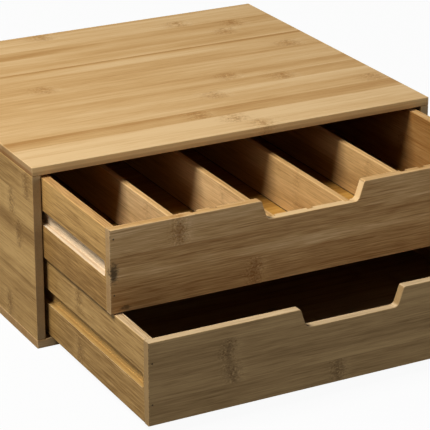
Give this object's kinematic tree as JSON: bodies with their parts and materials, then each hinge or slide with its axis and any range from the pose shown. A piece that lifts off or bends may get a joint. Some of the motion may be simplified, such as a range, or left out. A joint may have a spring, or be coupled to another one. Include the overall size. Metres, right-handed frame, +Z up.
{
  "type": "desk organizer",
  "caption": "Bamboo desk organizer: open-fronted box with stacked sliding drawers on wooden runners, finger notches in the fronts, and slotted dividers in the upper drawer.",
  "frame": {"origin": "centre of the case's underside", "axes": "+X to the right as seen from the front, the front faces -Y, +Z up"},
  "size_m": [0.345, 0.469, 0.146],
  "materials": {
    "case_bamboo": "laminated bamboo, satin clear lacquer",
    "side_bamboo": "laminated bamboo, satin clear lacquer",
    "drawer_bamboo": "laminated bamboo, satin clear lacquer",
    "floor_bamboo": "laminated bamboo, satin clear lacquer",
    "divider_bamboo": "laminated bamboo, satin clear lacquer",
    "runner_bamboo": "laminated bamboo, satin clear lacquer",
    "brad_steel": "plain steel, darkened"
  },
  "bodies": {
    "case": {"top_panel": "case_bamboo", "bottom_panel": "case_bamboo", "back_panel": "case_bamboo", "left_side_panel": "side_bamboo", "right_side_panel": "side_bamboo", "upper_left_runner": "runner_bamboo", "upper_right_runner": "runner_bamboo", "lower_left_runner": "runner_bamboo", "lower_right_runner": "runner_bamboo", "runner_brads": "brad_steel"},
    "upper_drawer": {"upper_drawer_front": "drawer_bamboo", "upper_drawer_left_side": "drawer_bamboo", "upper_drawer_right_side": "drawer_bamboo", "upper_drawer_back": "drawer_bamboo", "upper_drawer_floor": "floor_bamboo", "upper_drawer_brads": "brad_steel", "divider_1": "divider_bamboo", "divider_2": "divider_bamboo", "divider_3": "divider_bamboo", "divider_4": "divider_bamboo"},
    "lower_drawer": {"lower_drawer_front": "drawer_bamboo", "lower_drawer_left_side": "drawer_bamboo", "lower_drawer_right_side": "drawer_bamboo", "lower_drawer_back": "drawer_bamboo", "lower_drawer_floor": "floor_bamboo", "lower_drawer_brads": "brad_steel"}
  },
  "joints": [
    {"name": "upper_drawer_slide", "type": "slide", "parent": "case", "child": "upper_drawer", "axis": [0, -1, 0], "range_m": [-0.116, 0.084]},
    {"name": "lower_drawer_slide", "type": "slide", "parent": "case", "child": "lower_drawer", "axis": [0, -1, 0], "range_m": [-0.169, 0.031]}
  ]
}
